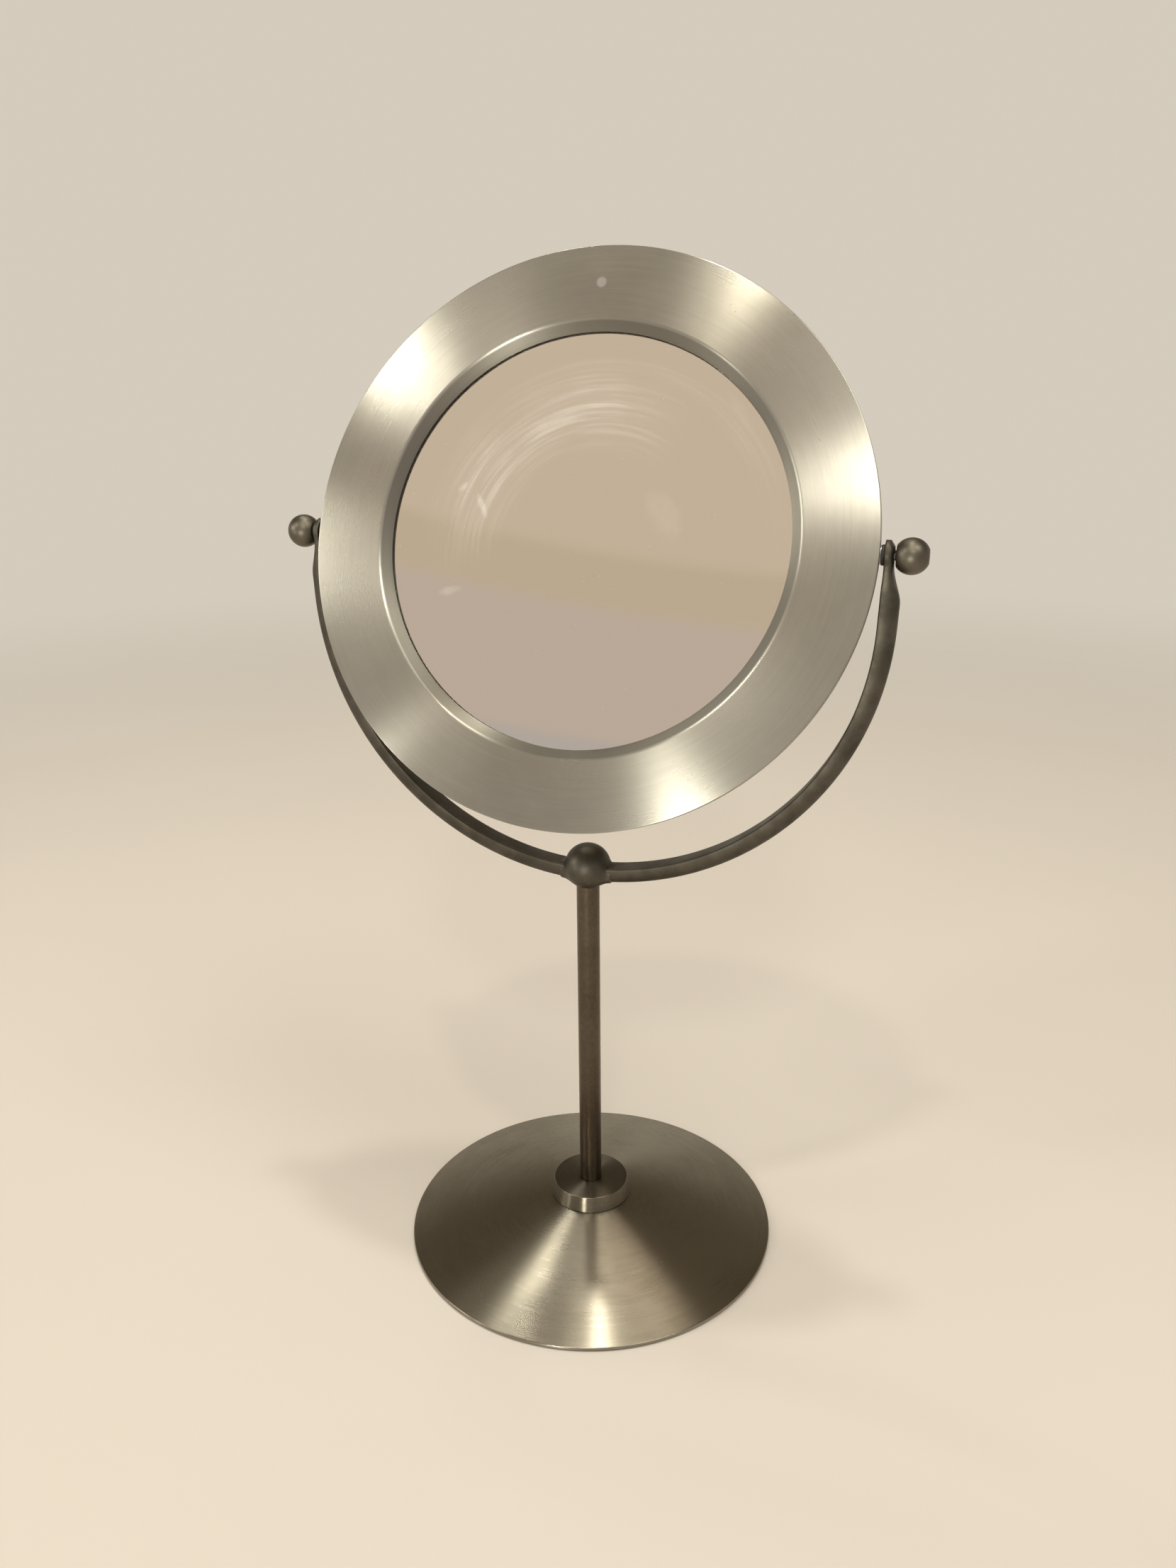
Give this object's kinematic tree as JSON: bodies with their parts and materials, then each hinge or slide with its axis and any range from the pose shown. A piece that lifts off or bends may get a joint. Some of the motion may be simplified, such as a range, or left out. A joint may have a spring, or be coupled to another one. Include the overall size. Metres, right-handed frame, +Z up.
{
  "type": "extendable shaving mirror",
  "caption": "Tabletop shaving mirror on a weighted cone base; its stem slides up and swivels, and the round two-sided head tilts in a U-shaped yoke between ball knobs.",
  "frame": {"origin": "centre of the flat underside of the base, on the axis of the stem", "axes": "+Z up along the stem, -Y the way the mirror faces, +X along the tilt axis to the right of a person who looks into it"},
  "size_m": [0.25, 0.16, 0.4097],
  "materials": {
    "pad_foam": "dense foam rubber sheet",
    "satin_steel": "satin brushed round its axis",
    "iron": "as cast",
    "zinc": "zinc plated steel",
    "nylon": "natural nylon",
    "stem_steel": "satin plated tube",
    "pewter": "cast and plated, dark and slightly mottled",
    "black_rubber": "matt black",
    "mirror_glass": "silvered glass"
  },
  "bodies": {
    "base": {"base_pad": "pad_foam", "base_shell": "satin_steel", "ballast_weight": "iron", "base_collar": "satin_steel", "guide_rod": "zinc", "rod_washer": "zinc", "rod_nut": "zinc", "friction_sleeve": "nylon", "sleeve_screw": "zinc"},
    "slider": {"glide_bush": "nylon"},
    "stem": {"stem_tube": "stem_steel", "bush_retainer": "zinc", "tube_plug": "zinc", "hub_stud": "zinc", "hub_ball": "pewter", "yoke_bar": "pewter", "left_washer": "black_rubber", "right_washer": "black_rubber"},
    "head": {"front_ring": "satin_steel", "back_shell": "satin_steel", "front_glass": "mirror_glass", "rear_glass": "mirror_glass", "front_gasket": "black_rubber", "rear_gasket": "black_rubber", "backing_disc": "black_rubber", "glass_spacer": "black_rubber", "left_pivot_block": "zinc", "right_pivot_block": "zinc"},
    "left_clamp": {"left_knob": "pewter", "left_pivot_screw": "zinc"},
    "right_clamp": {"right_knob": "pewter", "right_pivot_screw": "zinc"}
  },
  "joints": [
    {"name": "stem_slide", "type": "slide", "parent": "base", "child": "slider", "axis": [0, 0, 1], "range_m": [0, 0.1]},
    {"name": "stem_swivel", "type": "hinge", "parent": "slider", "child": "stem", "pos_m": [0, 0, 0], "axis": [0, 0, 1], "continuous": true},
    {"name": "head_tilt", "type": "hinge", "parent": "stem", "child": "head", "pos_m": [0, 0, 0.3055], "axis": [1, 0, 0], "continuous": true},
    {"name": "left_knob_turn", "type": "hinge", "parent": "head", "child": "left_clamp", "pos_m": [-0.119, 0, 0.3055], "axis": [-1, 0, 0], "range_deg": [-360, 360]},
    {"name": "right_knob_turn", "type": "hinge", "parent": "head", "child": "right_clamp", "pos_m": [0.119, 0, 0.3055], "axis": [1, 0, 0], "range_deg": [-360, 360]}
  ]
}
